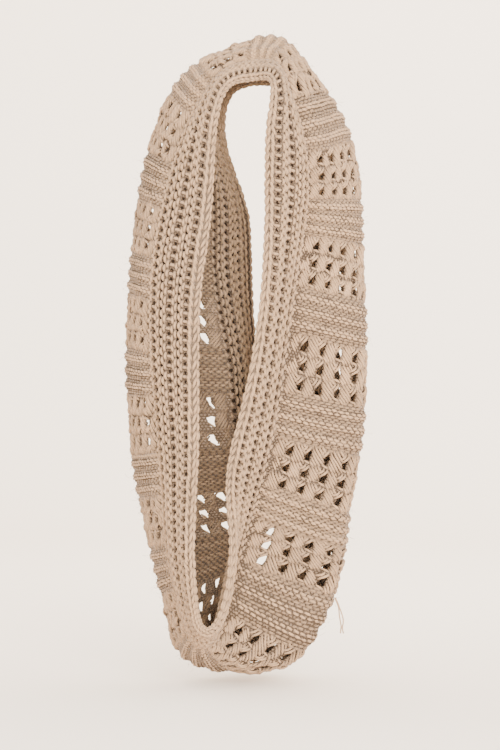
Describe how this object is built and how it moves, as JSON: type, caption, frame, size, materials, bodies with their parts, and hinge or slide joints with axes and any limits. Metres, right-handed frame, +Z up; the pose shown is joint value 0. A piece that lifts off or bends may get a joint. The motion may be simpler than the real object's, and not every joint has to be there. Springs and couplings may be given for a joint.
{
  "type": "infinity scarf",
  "caption": "Wide knitted band joined into a hanging loop, with ridged welts, eyelet lace and ribbed borders.",
  "frame": {"origin": "inner face of the loop at its top, where a neck or a peg holds it", "axes": "+Z up, -Y towards the side seen from the front, +X to the right of that side"},
  "size_m": [0.2551, 0.2153, 0.6556],
  "materials": {
    "centre_knit": "matt beige wool yarn, welts and eyelet lace",
    "border_knit": "matt beige wool yarn, ribbed",
    "loose_yarn": "matt beige plied wool yarn"
  },
  "bodies": {
    "root": {"centre_right": "centre_knit", "centre_bottom": "centre_knit", "centre_left": "centre_knit", "centre_top": "centre_knit", "front_border_right": "border_knit", "front_border_bottom": "border_knit", "front_border_left": "border_knit", "front_border_top": "border_knit", "back_border_right": "border_knit", "back_border_bottom": "border_knit", "back_border_left": "border_knit", "back_border_top": "border_knit", "yarn_tail": "loose_yarn"}
  },
  "joints": []
}
